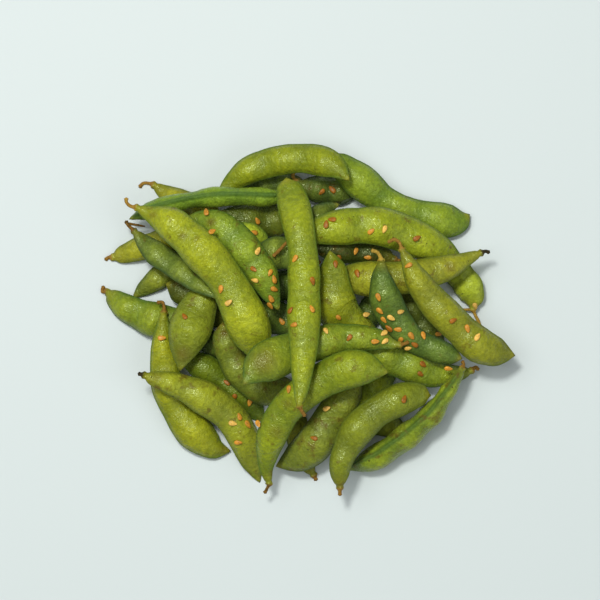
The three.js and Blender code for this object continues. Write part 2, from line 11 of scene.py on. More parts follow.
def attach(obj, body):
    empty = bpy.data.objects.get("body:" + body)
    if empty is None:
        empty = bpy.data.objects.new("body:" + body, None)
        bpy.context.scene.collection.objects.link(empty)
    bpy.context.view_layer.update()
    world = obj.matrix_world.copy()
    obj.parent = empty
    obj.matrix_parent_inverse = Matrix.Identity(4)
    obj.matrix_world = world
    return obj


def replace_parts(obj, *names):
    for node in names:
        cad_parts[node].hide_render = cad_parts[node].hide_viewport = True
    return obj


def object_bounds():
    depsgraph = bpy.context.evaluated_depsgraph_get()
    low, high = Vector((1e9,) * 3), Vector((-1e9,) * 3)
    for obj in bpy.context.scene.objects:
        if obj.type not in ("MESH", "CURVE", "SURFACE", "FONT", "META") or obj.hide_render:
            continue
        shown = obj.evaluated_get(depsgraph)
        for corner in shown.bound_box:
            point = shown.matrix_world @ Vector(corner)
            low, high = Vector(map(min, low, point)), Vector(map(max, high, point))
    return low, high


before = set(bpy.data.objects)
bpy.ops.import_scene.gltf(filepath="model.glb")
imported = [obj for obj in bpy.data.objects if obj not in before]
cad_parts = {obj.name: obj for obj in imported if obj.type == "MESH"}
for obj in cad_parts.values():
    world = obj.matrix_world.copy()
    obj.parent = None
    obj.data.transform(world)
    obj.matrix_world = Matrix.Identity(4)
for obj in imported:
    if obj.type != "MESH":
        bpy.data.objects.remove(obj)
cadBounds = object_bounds()
scene = bpy.context.scene
mm = 0.001

# Camera: straight above the heap
viewSetup = {
    "middle": (-2.5, 7.2),  # what the camera is centred on, mm
    "height": 1200.0,  # mm over the table
    "width": 216.0,  # how much of the table fits across the frame, mm
    "focusHeight": 16.0,  # the height in the heap at which that width holds, mm
    "sensor": 36.0,
}

camera = bpy.data.objects.new("camera", bpy.data.cameras.new("camera"))
scene.collection.objects.link(camera)
scene.camera = camera
camera.location = [value * mm for value in (*viewSetup["middle"], viewSetup["height"])]
camera.data.sensor_width = viewSetup["sensor"]
focusDistance = viewSetup["height"] - viewSetup["focusHeight"]
camera.data.lens = viewSetup["sensor"] * focusDistance / viewSetup["width"]
camera.data.clip_start = 0.05
camera.data.clip_end = 20.0
scene.view_settings.view_transform = "Standard"
print("camera ready")


def linear(red, green, blue):
    # a colour given from 0 to 255 as on a screen, turned into the shader's own scale
    def one(value):
        value = value / 255.0
        return value / 12.92 if value <= 0.04045 else ((value + 0.055) / 1.055) ** 2.4
    return (one(red), one(green), one(blue), 1.0)


# Light: a small bright lamp for the sparkle of the oil, wide soft ones for the rest
lamps = {
    "keyLight": {"at": (-0.22, 0.38, 1.25), "size": 0.2, "power": 11.0, "colour": (1.0, 0.985, 0.95)},
    "softLight": {"at": (-0.5, 0.3, 1.5), "size": 1.3, "power": 11.5, "colour": (1.0, 1.0, 1.0)},
    "fillLight": {"at": (0.9, -0.5, 1.1), "size": 1.2, "power": 5.0, "colour": (0.97, 0.99, 1.0)},
}
for name, lamp in lamps.items():
    light = bpy.data.objects.new(name, bpy.data.lights.new(name, "AREA"))
    scene.collection.objects.link(light)
    light.data.shape = "DISK"
    light.data.size = lamp["size"]
    light.data.energy = lamp["power"]
    light.data.color = lamp["colour"]
    light.location = lamp["at"]
    light.rotation_euler = (-Vector(lamp["at"])).to_track_quat("-Z", "Y").to_euler()

roomLook = {"colour": (0.95, 0.98, 1.0, 1.0), "strength": 0.19}
world = bpy.data.worlds.new("softRoom")
scene.world = world
world.use_nodes = True
world.node_tree.nodes["Background"].inputs["Color"].default_value = roomLook["colour"]
world.node_tree.nodes["Background"].inputs["Strength"].default_value = roomLook["strength"]

floorLook = {
    "size": 4.0,  # m
    "below": 0.0001,  # how far it lies under the lowest pods, m
    "colour": linear(196, 206, 205),
    "roughness": 0.6,
}
floorMaterial = bpy.data.materials.new("paleTable")
floorMaterial.use_nodes = True
floorShader = floorMaterial.node_tree.nodes["Principled BSDF"]
floorShader.inputs["Base Color"].default_value = floorLook["colour"]
floorShader.inputs["Roughness"].default_value = floorLook["roughness"]
floorMesh = bpy.data.meshes.new("floor")
bm = bmesh.new()
bmesh.ops.create_grid(bm, x_segments=1, y_segments=1, size=floorLook["size"] / 2)
bmesh.ops.translate(bm, verts=bm.verts, vec=(0, 0, -floorLook["below"]))
bm.to_mesh(floorMesh)
bm.free()
floor = bpy.data.objects.new("floor", floorMesh)
scene.collection.objects.link(floor)
floorMesh.materials.append(floorMaterial)
print("light and floor ready")


def addNode(tree, kind, at, **settings):
    node = tree.nodes.new(kind)
    node.location = at
    for name, value in settings.items():
        setattr(node, name, value)
    return node


def mathNode(tree, operation, at, first, second=None, clamp=False):
    node = addNode(tree, "ShaderNodeMath", at, operation=operation, use_clamp=clamp)
    for socket, value in zip(node.inputs, (first, second)):
        if value is None:
            continue
        if isinstance(value, (int, float)):
            socket.default_value = value
        else:
            tree.links.new(value, socket)
    return node.outputs[0]


def rangeNode(tree, at, value, low, high, toLow=0.0, toHigh=1.0):
    node = addNode(tree, "ShaderNodeMapRange", at, clamp=True, interpolation_type="SMOOTHSTEP")
    tree.links.new(value, node.inputs["Value"])
    node.inputs["From Min"].default_value = low
    node.inputs["From Max"].default_value = high
    node.inputs["To Min"].default_value = toLow
    node.inputs["To Max"].default_value = toHigh
    return node.outputs["Result"]


def mixColour(tree, at, factor, first, second, blend="MIX"):
    node = addNode(tree, "ShaderNodeMix", at, data_type="RGBA", blend_type=blend)
    for socket, value in ((node.inputs[0], factor), (node.inputs[6], first), (node.inputs[7], second)):
        if isinstance(value, (int, float, tuple)):
            socket.default_value = value
        else:
            tree.links.new(value, socket)
    return node.outputs[2]


def noiseNode(tree, at, vector, scale, detail=3.0, roughness=0.55):
    node = addNode(tree, "ShaderNodeTexNoise", at)
    node.inputs["Scale"].default_value = scale
    node.inputs["Detail"].default_value = detail
    node.inputs["Roughness"].default_value = roughness
    tree.links.new(vector, node.inputs["Vector"])
    return node.outputs["Fac"]


def attributeNode(tree, at, name):
    return addNode(tree, "ShaderNodeAttribute", at, attribute_name=name)


def newGroup(name, inputs, outputs):
    group = bpy.data.node_groups.new(name, "ShaderNodeTree")
    for socketName, kind, value in inputs:
        socket = group.interface.new_socket(socketName, in_out="INPUT", socket_type=kind)
        if value is not None:
            socket.default_value = value
    for socketName, kind in outputs:
        group.interface.new_socket(socketName, in_out="OUTPUT", socket_type=kind)
    start = addNode(group, "NodeGroupInput", (-1200, 0))
    end = addNode(group, "NodeGroupOutput", (900, 0))
    return group, start.outputs, end.inputs


def useGroup(tree, group, at):
    return addNode(tree, "ShaderNodeGroup", at, node_tree=group)


# Fine relief of the skin: cross ripples and the tiny oily bumps that sparkle
reliefLook = {
    "rippleTurn": 24,  # degrees between the ripples and the straight way across the pod
    "rippleStretch": (0.85, 0.24, 1.0),
    "wanderScale": 0.3,  # how quickly the ripples bend
    "wanderReach": (4.0, 4.0, 0.0),  # and how far, mm
    "bumpScale": 1200.0,
    "patchScale": 210.0,  # patches where the bumps are weaker
}
reliefGroup, into, out = newGroup(
    "skinRelief",
    [("Skin", "NodeSocketVector", None), ("Place", "NodeSocketVector", None),
     ("Ripples", "NodeSocketFloat", 0.5), ("Bumps", "NodeSocketFloat", 1.0)],
    [("Height", "NodeSocketFloat"), ("Ripple Mask", "NodeSocketFloat"), ("Oil Mask", "NodeSocketFloat")],
)
stretch = addNode(reliefGroup, "ShaderNodeMapping", (-950, 300))
stretch.inputs["Rotation"].default_value = (0, 0, math.radians(reliefLook["rippleTurn"]))
stretch.inputs["Scale"].default_value = reliefLook["rippleStretch"]
wander = addNode(reliefGroup, "ShaderNodeTexNoise", (-1350, 450))
wander.inputs["Scale"].default_value = reliefLook["wanderScale"]
reliefGroup.links.new(into["Skin"], wander.inputs["Vector"])
bend = addNode(reliefGroup, "ShaderNodeVectorMath", (-1150, 450), operation="MULTIPLY_ADD")
bend.inputs[1].default_value = reliefLook["wanderReach"]
reliefGroup.links.new(wander.outputs["Color"], bend.inputs[0])
reliefGroup.links.new(into["Skin"], bend.inputs[2])
reliefGroup.links.new(bend.outputs["Vector"], stretch.inputs["Vector"])
rippleNoise = noiseNode(reliefGroup, (-700, 300), stretch.outputs["Vector"], 1.0, 3.0, 0.55)
bumpNoise = noiseNode(reliefGroup, (-700, 0), into["Place"], reliefLook["bumpScale"], 2.0, 0.5)
patchNoise = noiseNode(reliefGroup, (-700, -250), into["Place"], reliefLook["patchScale"], 2.0, 0.5)
bumpPatches = rangeNode(reliefGroup, (-400, -250), patchNoise, 0.3, 0.65, 0.45, 1.0)
rippleHeight = mathNode(reliefGroup, "MULTIPLY", (0, 300), rippleNoise, into["Ripples"])
bumpHeight = mathNode(reliefGroup, "MULTIPLY", (0, 0), bumpNoise, into["Bumps"])
bumpHeight = mathNode(reliefGroup, "MULTIPLY", (200, 0), bumpHeight, bumpPatches)
wholeHeight = mathNode(reliefGroup, "ADD", (400, 200), rippleHeight, bumpHeight)
# the hollows of the ripples, which the pod skin darkens with painted shade
rippleMask = rangeNode(reliefGroup, (0, 500), rippleNoise, 0.4, 0.62, 1.0, 0.0)
oilMask = rangeNode(reliefGroup, (0, -300), bumpNoise, 0.42, 0.62)
reliefGroup.links.new(wholeHeight, out["Height"])
reliefGroup.links.new(rippleMask, out["Ripple Mask"])
reliefGroup.links.new(oilMask, out["Oil Mask"])

# Brown marks: soft smudges where the skin was bruised, and small dark specks
markLook = {
    "smudgeScale": 260.0,
    "smudgeGrowth": 0.24,  # how much further smudges spread on the most marked skin
    "speckScale": 240.0,
    "speckSize": 0.26,  # part of the way between two specks that the largest one fills
    "speckUneven": 1400.0,
}
markGroup, into, out = newGroup(
    "skinMarks",
    [("Place", "NodeSocketVector", None), ("Amount", "NodeSocketFloat", 0.3)],
    [("Smudge", "NodeSocketFloat"), ("Speck", "NodeSocketFloat")],
)
smudgeNoise = noiseNode(markGroup, (-700, 200), into["Place"], markLook["smudgeScale"], 4.0, 0.65)
smudgeMore = mathNode(markGroup, "MULTIPLY", (-700, 50), into["Amount"], markLook["smudgeGrowth"])
smudgeLift = mathNode(markGroup, "ADD", (-450, 200), smudgeNoise, smudgeMore)
markGroup.links.new(rangeNode(markGroup, (-200, 200), smudgeLift, 0.66, 0.82), out["Smudge"])
speckCells = addNode(markGroup, "ShaderNodeTexVoronoi", (-700, -200))
speckCells.inputs["Scale"].default_value = markLook["speckScale"]
markGroup.links.new(into["Place"], speckCells.inputs["Vector"])
speckNoise = noiseNode(markGroup, (-700, -450), into["Place"], markLook["speckUneven"], 2.0, 0.5)
largestSpeck = mathNode(markGroup, "MULTIPLY", (-550, -400), into["Amount"], markLook["speckSize"])
speckSize = mathNode(markGroup, "MULTIPLY", (-450, -350), largestSpeck, speckNoise)
speck = mathNode(markGroup, "LESS_THAN", (-250, -200), speckCells.outputs["Distance"], speckSize)
markGroup.links.new(speck, out["Speck"])

# light and deep: the pod's green over the beans and between them, with painted light on the bean swells;
# rim: the dark green for the seams and the ripple hollows, partly painted shade
podTones = {
    "pod_lime": {"light": (167, 178, 34), "deep": (123, 138, 32), "rim": (66, 94, 28)},
    "pod_yellow": {"light": (157, 160, 36), "deep": (117, 122, 34), "rim": (76, 92, 28)},
    "pod_green": {"light": (137, 156, 38), "deep": (93, 118, 34), "rim": (46, 80, 30)},
    "pod_olive": {"light": (125, 134, 38), "deep": (93, 104, 32), "rim": (52, 72, 28)},
    "pod_dark": {"light": (99, 118, 40), "deep": (63, 84, 32), "rim": (30, 56, 28)},
}
podFinish = {
    "roughness": (0.44, 0.19),  # in the hollows of the fine bumps and on top of them
    "specular": 0.4,
    "specularTint": (0.86, 1.0, 0.55, 1.0),
    "bumpDepth": 0.00038,
    "ripples": 0.85,
    "bumps": 1.0,
    "mottleScale": 150.0,
    "mottling": 0.8,
    "grainScale": 620.0,
    "grain": (0.8, 1.16),  # the darkest and the lightest grain
    "rippleShade": 0.2,
    "rimStrength": 0.65,  # the dark green beside the seams, partly their own colour and partly painted shade
    "rimReach": (0.3, 1.7),  # how far from a seam it starts to fade, and where it ends, mm
    "smudgeStrength": 0.7,
    "speckStrength": 0.85,
    "barkScale": 1100.0,
    "stalkRoughness": 0.75,
    "straw": (146, 140, 36),  # shoulder and beak
    "bruise": (90, 72, 22),
    "speck": (46, 36, 18),
    "drySunny": (172, 140, 54),  # dried stalk, from straw to nearly black
    "dryBrown": (130, 92, 32),
    "dryBlack": (34, 23, 12),
}


def podMaterial(slotName, tone):
    material = bpy.data.materials.new("podSkin" + slotName.split("_")[1].capitalize())
    material.use_nodes = True
    tree = material.node_tree
    shader = tree.nodes["Principled BSDF"]
    shader.location = (1900, 0)
    place = addNode(tree, "ShaderNodeTexCoord", (-1500, 0)).outputs["Object"]
    skin = addNode(tree, "ShaderNodeUVMap", (-1500, -250), uv_map="skinMap").outputs["UV"]
    tint = attributeNode(tree, (-1500, 1000), "tint").outputs["Color"]
    read = {}
    for row, name in enumerate(("swell", "seam", "stalk", "bruise", "marks", "end", "dry")):
        read[name] = attributeNode(tree, (-1500, 850 - 150 * row), name).outputs["Fac"]

    relief = useGroup(tree, reliefGroup, (-1000, -300))
    tree.links.new(skin, relief.inputs["Skin"])
    tree.links.new(place, relief.inputs["Place"])
    relief.inputs["Ripples"].default_value = podFinish["ripples"]
    relief.inputs["Bumps"].default_value = podFinish["bumps"]
    marks = useGroup(tree, markGroup, (-1000, 900))
    tree.links.new(place, marks.inputs["Place"])
    tree.links.new(read["marks"], marks.inputs["Amount"])

    # green: lighter on the swell of each bean, partly painted light on the domes and partly the thinner
    # skin there; mottled; darker with painted shade in the hollows of the ripples
    mottle = noiseNode(tree, (-1200, 300), place, podFinish["mottleScale"], 4.0, 0.6)
    uneven = mathNode(tree, "SUBTRACT", (-1000, 200), mottle, 0.5)
    uneven = mathNode(tree, "MULTIPLY", (-900, 250), uneven, podFinish["mottling"])
    lightness = mathNode(tree, "ADD", (-750, 400), read["swell"], uneven, clamp=True)
    colour = mixColour(tree, (-550, 400), lightness, linear(*tone["deep"]), linear(*tone["light"]))
    colour = mixColour(tree, (-350, 400), 1.0, colour, tint, "MULTIPLY")
    grain = noiseNode(tree, (-550, 100), place, podFinish["grainScale"], 4.0, 0.65)
    grain = rangeNode(tree, (-350, 150), grain, 0.3, 0.7, *podFinish["grain"])
    colour = mixColour(tree, (-150, 400), 1.0, colour, grain, "MULTIPLY")
    ripples = relief.outputs["Ripple Mask"]
    rippleShade = mathNode(tree, "MULTIPLY", (-150, 150), ripples, podFinish["rippleShade"])
    colour = mixColour(tree, (50, 400), rippleShade, colour, linear(*tone["rim"]))
    # seams: dark green beside the thin cord, partly the seam's own colour and partly painted shade in
    # the groove there and along the pod's edges
    rim = rangeNode(tree, (-100, 0), read["seam"], *podFinish["rimReach"], 1.0, 0.0)
    rim = mathNode(tree, "MULTIPLY", (50, 150), rim, podFinish["rimStrength"])
    colour = mixColour(tree, (250, 400), rim, colour, linear(*tone["rim"]))
    # shoulder and beak: straw yellow
    patchy = rangeNode(tree, (50, 700), mottle, 0.3, 0.6, 0.5, 1.0)
    ends = mathNode(tree, "MULTIPLY", (250, 650), read["end"], patchy)
    colour = mixColour(tree, (450, 400), ends, colour, linear(*podFinish["straw"]))
    # bruises and specks
    bruise = mathNode(tree, "MULTIPLY", (250, 850), read["bruise"], patchy)
    smudge = marks.outputs["Smudge"]
    smudge = mathNode(tree, "MULTIPLY", (250, 1000), smudge, podFinish["smudgeStrength"])
    smudge = mathNode(tree, "MAXIMUM", (450, 850), bruise, smudge)
    colour = mixColour(tree, (650, 400), smudge, colour, linear(*podFinish["bruise"]))
    specks = marks.outputs["Speck"]
    specks = mathNode(tree, "MULTIPLY", (650, 700), specks, podFinish["speckStrength"])
    colour = mixColour(tree, (850, 400), specks, colour, linear(*podFinish["speck"]))
    # dried stalk
    bark = noiseNode(tree, (450, 0), place, podFinish["barkScale"], 4.0, 0.65)
    barkUneven = mathNode(tree, "SUBTRACT", (650, 0), bark, 0.5)
    dryness = mathNode(tree, "ADD", (850, 0), read["dry"], barkUneven)
    sunny = rangeNode(tree, (1000, 100), dryness, 0.0, 0.5)
    burnt = rangeNode(tree, (1000, -100), dryness, 0.5, 1.0)
    straw, brown = linear(*podFinish["drySunny"]), linear(*podFinish["dryBrown"])
    barkColour = mixColour(tree, (1150, 100), sunny, straw, brown)
    barkColour = mixColour(tree, (1300, 0), burnt, barkColour, linear(*podFinish["dryBlack"]))
    colour = mixColour(tree, (1450, 400), read["stalk"], colour, barkColour)
    tree.links.new(colour, shader.inputs["Base Color"])

    low, high = podFinish["roughness"]
    oily = rangeNode(tree, (1000, -300), relief.outputs["Oil Mask"], 0.0, 1.0, low, high)
    dull = mathNode(tree, "MULTIPLY", (850, -450), read["stalk"], podFinish["stalkRoughness"])
    dull = mathNode(tree, "MAXIMUM", (1000, -450), dull, rim)
    tree.links.new(mathNode(tree, "MAXIMUM", (1200, -300), oily, dull), shader.inputs["Roughness"])
    shader.inputs["Specular IOR Level"].default_value = podFinish["specular"]
    shader.inputs["Specular Tint"].default_value = podFinish["specularTint"]

    bump = addNode(tree, "ShaderNodeBump", (1600, -400))
    bump.inputs["Strength"].default_value = 1.0
    bump.inputs["Distance"].default_value = podFinish["bumpDepth"]
    barkHeight = mathNode(tree, "MULTIPLY", (1200, -600), bark, read["stalk"])
    height = mathNode(tree, "ADD", (1400, -500), relief.outputs["Height"], barkHeight)
    tree.links.new(height, bump.inputs["Height"])
    tree.links.new(bump.outputs["Normal"], shader.inputs["Normal"])
    return material


podMaterials = {name: podMaterial(name, tone) for name, tone in podTones.items()}
print("materials ready")

podMake = {
    "stepAlong": 0.55,  # mm between rings on the pod
    "stepStalk": 0.26,  # mm between rings on the stalk
    "finePastCollar": 2.0,  # how far past the collar the rings stay close, mm
    "around": 64,
    "crowding": 0.34,  # how much closer together the columns are at the seams
    "seamPinch": 1.2,  # how sharply the halves meet at the seams
    "seamRidge": 0.10,  # how far the cord along a seam stands out, and its width, mm
    "seamWidth": 0.42,
    "seamGroove": 0.16,  # the groove beside the cord: its depth, its place and its width, mm
    "grooveFrom": 1.25,
    "grooveWidth": 0.55,
    "hollow": 0.4,  # how deep the skin sinks between the beans, mm
    "beanFullness": 0.7,  # a bean lies where the pod is at its thickest, and at least this thick
    "beanWidth": 1.6,  # and this wide, from its middle, mm
    "beanSpacing": 4.0,  # mm from the collar and from the bean before
    "beanReach": 9.0,  # the longest swell over a bean, mm
    "loneBean": 14.0,  # how far off the next bean is taken to be where there is only one, mm
    "wrinkle": 0.18,  # depth of the wrinkles, and the sizes of the large and the small ones, mm
    "wrinkleSizes": (3.2, 1.3),
    "stalkRadius": 0.62,
    "stalkFlare": 0.35,  # how much wider the dry end of the stalk is
    "collarRadius": 1.3,
    "collarLength": 0.7,
    "collarRags": (5, 0.16),  # how many lobes the collar has, and how far they stand out, mm
    "neckPinch": 0.18,  # how much narrower the pod is just past its collar
    "warmth": (0.16, 0.0, -0.12),  # what one step of warmth adds to red, green and blue
}

# shade lightens or darkens a pod, partly as its own tone and partly as painted shade and painted light:
# the pods deep in the heap are darkened and some that the lamps leave too dark are lightened. warmth
# turns it to yellow, marks is how specked it is, and dry is its stalk, from 0 for straw to 1 for black.
# A bruise is its place along the pod from 0 to 1, its angle around it, its radius in mm and its
# strength. A sprig is its place along the stalk from 0 to 1, the degrees that it turns off to the left,
# and its length in mm.
podLooks = {
    "pod_bottom_01": {"slot": "pod_olive", "shade": 1.2, "warmth": 0.1, "marks": 0.2, "dry": 0.5},
    "pod_bottom_02": {"slot": "pod_olive", "shade": 0.52, "warmth": 0.3, "marks": 0.3, "dry": 0.5},
    "pod_bottom_03": {"slot": "pod_yellow", "shade": 1.1, "warmth": 0.3, "marks": 0.3, "dry": 0.4},
    "pod_bottom_04": {"slot": "pod_yellow", "shade": 1.02, "warmth": 0.5, "marks": 0.3, "dry": 0.4},
    "pod_bottom_05": {"slot": "pod_olive", "shade": 0.62, "warmth": -0.3, "marks": 0.5, "dry": 0.6},
    "pod_bottom_06": {"slot": "pod_green", "shade": 1.89, "warmth": 0.9, "marks": 0.2, "dry": 0.5},
    "pod_bottom_07": {"slot": "pod_dark", "shade": 1.65, "warmth": 0.9, "marks": 0.3, "dry": 0.3},
    "pod_bottom_08": {"slot": "pod_dark", "shade": 1.0, "warmth": 0.0, "marks": 0.3, "dry": 0.5},
    "pod_bottom_09": {"slot": "pod_dark", "shade": 0.85, "warmth": 0.3, "marks": 0.45, "dry": 0.35},
    "pod_bottom_10": {"slot": "pod_dark", "shade": 1.2, "warmth": 0.9, "marks": 0.2, "dry": 0.4},
    "pod_bottom_11": {"slot": "pod_olive", "shade": 0.23, "warmth": -0.5, "marks": 0.6, "dry": 0.5},
    "pod_bottom_12": {"slot": "pod_olive", "shade": 2.1, "warmth": 0.3, "marks": 0.3, "dry": 0.5},
    "pod_bottom_13": {"slot": "pod_olive", "shade": 1.79, "warmth": 0.9, "marks": 0.4, "dry": 0.6},
    "pod_bottom_14": {"slot": "pod_lime", "shade": 0.4, "warmth": -0.8, "marks": 0.3, "dry": 0.5},
    "pod_bottom_15": {"slot": "pod_green", "shade": 1.43, "warmth": 0.8, "marks": 0.2, "dry": 0.5},
    "pod_bottom_16": {"slot": "pod_olive", "shade": 0.52, "warmth": -0.6, "marks": 0.3, "dry": 0.5},
    "pod_bottom_17": {
        "slot": "pod_yellow", "shade": 1.48, "warmth": -0.8, "marks": 0.2, "dry": 0.2,
        "sprigs": [(0.97, 80, 6.3)],
    },
    "pod_bottom_18": {"slot": "pod_green", "shade": 1.06, "warmth": 0.1, "marks": 0.15, "dry": 0.5},
    "pod_bottom_19": {
        "slot": "pod_green", "shade": 0.96, "warmth": 0.6, "marks": 0.25, "dry": 0.5,
        "sprigs": [(0.1, 60, 1.6)],
    },
    "pod_bottom_20": {"slot": "pod_dark", "shade": 0.9, "warmth": 0.3, "marks": 0.3, "dry": 0.5},
    "pod_bottom_21": {"slot": "pod_dark", "shade": 0.95, "warmth": 0.0, "marks": 0.3, "dry": 0.5},
    "pod_bottom_22": {"slot": "pod_dark", "shade": 0.9, "warmth": 0.0, "marks": 0.3, "dry": 0.5},
    "pod_bottom_23": {"slot": "pod_dark", "shade": 0.9, "warmth": 0.0, "marks": 0.3, "dry": 0.5},
    "pod_middle_01": {
        "slot": "pod_lime", "shade": 0.8, "warmth": 0.7, "marks": 0.2, "dry": 0.6,
        "bruises": [(0.97, 90, 2.2, 0.6)],
    },
    "pod_middle_02": {"slot": "pod_lime", "shade": 0.69, "warmth": 0.1, "marks": 0.2, "dry": 0.5},
    "pod_middle_03": {"slot": "pod_lime", "shade": 0.85, "warmth": 0.0, "marks": 0.45, "dry": 0.5},
    "pod_middle_04": {
        "slot": "pod_yellow", "shade": 1.0, "warmth": 0.1, "marks": 0.5, "dry": 1.0,
        "bruises": [(0.22, 90, 2.2, 0.8)],
    },
    "pod_middle_05": {"slot": "pod_lime", "shade": 0.7, "warmth": 0.4, "marks": 0.35, "dry": 0.5},
    "pod_middle_06": {"slot": "pod_green", "shade": 0.98, "warmth": 0.6, "marks": 0.3, "dry": 0.4},
    "pod_middle_07": {
        "slot": "pod_olive", "shade": 1.0, "warmth": -0.2, "marks": 0.6, "dry": 0.5,
        "bruises": [(0.92, 90, 1.6, 0.9), (0.7, 40, 2.4, 0.5)],
    },
    "pod_middle_08": {
        "slot": "pod_yellow", "shade": 0.84, "warmth": -0.7, "marks": 0.4, "dry": 0.5,
        "bruises": [(0.86, 90, 3.0, 0.75)],
    },
    "pod_middle_09": {"slot": "pod_olive", "shade": 1.1, "warmth": 0.0, "marks": 0.6, "dry": 0.5},
    "pod_middle_10": {
        "slot": "pod_dark", "shade": 1.43, "warmth": 0.9, "marks": 0.3, "dry": 0.75,
        "sprigs": [(0.2, 48, 6.5)],
    },
    "pod_middle_11": {
        "slot": "pod_green", "shade": 1.0, "warmth": 0.1, "marks": 0.5, "dry": 0.5,
        "bruises": [(0.2, 90, 1.8, 0.8)],
    },
    "pod_middle_12": {"slot": "pod_green", "shade": 1.1, "warmth": -0.5, "marks": 0.2, "dry": 0.5},
    "pod_middle_13": {
        "slot": "pod_yellow", "shade": 1.05, "warmth": -0.3, "marks": 0.5, "dry": 1.0,
        "bruises": [(0.08, 100, 1.8, 0.5)],
    },
    "pod_middle_14": {
        "slot": "pod_green", "shade": 1.08, "warmth": 0.6, "marks": 0.6, "dry": 0.6,
        "bruises": [(0.32, 40, 1.2, 0.9), (0.36, 60, 1.0, 0.9)],
    },
    "pod_top_01": {"slot": "pod_dark", "shade": 1.15, "warmth": -0.2, "marks": 0.15, "dry": 0.0},
    "pod_top_02": {"slot": "pod_yellow", "shade": 0.85, "warmth": 0, "marks": 0.35, "dry": 0.35},
    "pod_top_03": {
        "slot": "pod_lime", "shade": 0.9, "warmth": 0.4, "marks": 0.35, "dry": 0.3,
        "bruises": [(0.09, 90, 1.6, 0.6), (0.27, 80, 1.4, 0.7), (0.33, 110, 1.0, 0.6)],
    },
    "pod_top_04": {
        "slot": "pod_green", "shade": 0.96, "warmth": 0.6, "marks": 0.4, "dry": 0.5,
        "bruises": [(0.82, 80, 5.0, 0.75)],
    },
    "pod_top_05": {
        "slot": "pod_lime", "shade": 0.73, "warmth": -0.2, "marks": 0.4, "dry": 0.65,
        "bruises": [(0.3, 80, 2.6, 0.6), (0.46, 100, 2.0, 0.6)],
    },
    "pod_top_06": {
        "slot": "pod_yellow", "shade": 0.72, "warmth": -0.7, "marks": 0.2, "dry": 0.4,
        "bruises": [(0.02, 90, 2.0, 0.7)],
    },
    "pod_top_07": {"slot": "pod_lime", "shade": 0.78, "warmth": 0, "marks": 0.3, "dry": 0.6},
}


def mergedCad(nodeName):
    bm = bmesh.new()
    bm.from_mesh(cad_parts[nodeName].data)
    bmesh.ops.remove_doubles(bm, verts=bm.verts, dist=1e-6)
    return bm


def ringsOf(nodeName):
    # the corners of the plain pod in mm, ring by ring, from the dry end of its stalk to its tip
    bm = mergedCad(nodeName)
    poles = sorted(bm.verts, key=lambda vert: -len(vert.link_edges))[:2]
    walks = []
    for pole in poles:
        seen = {pole}
        layer = [pole]
        rings = []
        while layer:
            rings.append(np.array([tuple(vert.co) for vert in layer]) / mm)
            ahead = {edge.other_vert(vert) for vert in layer for edge in vert.link_edges} - seen
            seen |= ahead
            layer = list(ahead)
        walks.append(rings)
    bm.free()
    return max(walks, key=lambda rings: np.ptp(rings[1], axis=0).max())  # the tip is thinner


def sectionsOf(nodeName):
    # middle, half width and half thickness of each ring, how far the pod is rolled, and its ends
    rings = ringsOf(nodeName)
    sides, spans = [], []
    for index in range(1, len(rings) - 1):
        ring = rings[index]
        spread = np.linalg.svd(ring[:, :2] - ring[:, :2].mean(axis=0))[2][0]
        ahead = (rings[index + 1].mean(axis=0) - rings[index - 1].mean(axis=0))[:2]
        sides.append(spread * np.sign(spread @ np.array([ahead[1], -ahead[0]])))
        flat = np.stack([ring[:, :2] @ sides[-1], ring[:, 2]], axis=1)
        gaps = np.linalg.norm(flat[:, None] - flat[None], axis=2)
        first, second = np.unravel_index(gaps.argmax(), gaps.shape)
        spans.append((flat[first] - flat[second]) * np.sign(flat[first][0] - flat[second][0]))
    widest = max(spans, key=np.linalg.norm)
    roll = math.atan2(widest[1], widest[0])
    middles, wides, thicks = [], [], []
    for ring, side in zip(rings[1:-1], sides):
        centre = ring.mean(axis=0)
        across = (ring[:, :2] - centre[:2]) @ side
        up = ring[:, 2] - centre[2]
        turnedAcross = across * math.cos(roll) + up * math.sin(roll)
        turnedUp = up * math.cos(roll) - across * math.sin(roll)
        right, left, top = turnedAcross.argmax(), turnedAcross.argmin(), turnedUp.argmax()
        middles.append((ring[right] + ring[left]) / 2)
        wides.append((turnedAcross[right] - turnedAcross[left]) / 2)
        thicks.append(turnedUp[top] - (turnedUp[right] + turnedUp[left]) / 2)
    return np.array(middles), np.array(wides), np.array(thicks), roll, rings[0][0], rings[-1][0]


def smoothThrough(knots, values, at):
    # a smooth curve through the values given at the knots, read at the places asked for
    values = values if values.ndim == 2 else values[:, None]
    steps = np.diff(knots)[:, None]
    slopes = np.diff(values, axis=0) / steps
    tangents = np.empty_like(values)
    tangents[0], tangents[-1] = slopes[0], slopes[-1]
    before, after = steps[:-1], steps[1:]
    tangents[1:-1] = (slopes[:-1] * after + slopes[1:] * before) / (before + after)
    span = np.clip(np.searchsorted(knots, at, side="right") - 1, 0, len(knots) - 2)
    width = steps[span]
    t = ((at - knots[span]) / width[:, 0])[:, None]
    return (
        (2 * t**3 - 3 * t**2 + 1) * values[span]
        + (t**3 - 2 * t**2 + t) * width * tangents[span]
        + (3 * t**2 - 2 * t**3) * values[span + 1]
        + (t**3 - t**2) * width * tangents[span + 1]
    )


def bell(distance, width):
    return np.exp(-((distance / width) ** 2))


sprigMake = {
    "radius": 0.55,  # mm
    "sides": 8,
    "steps": 6,
    "curl": 0.12,  # how much more it turns down at each step
    "taper": 0.93,  # how wide each step is for the one before
    "tipTaper": 0.6,
}


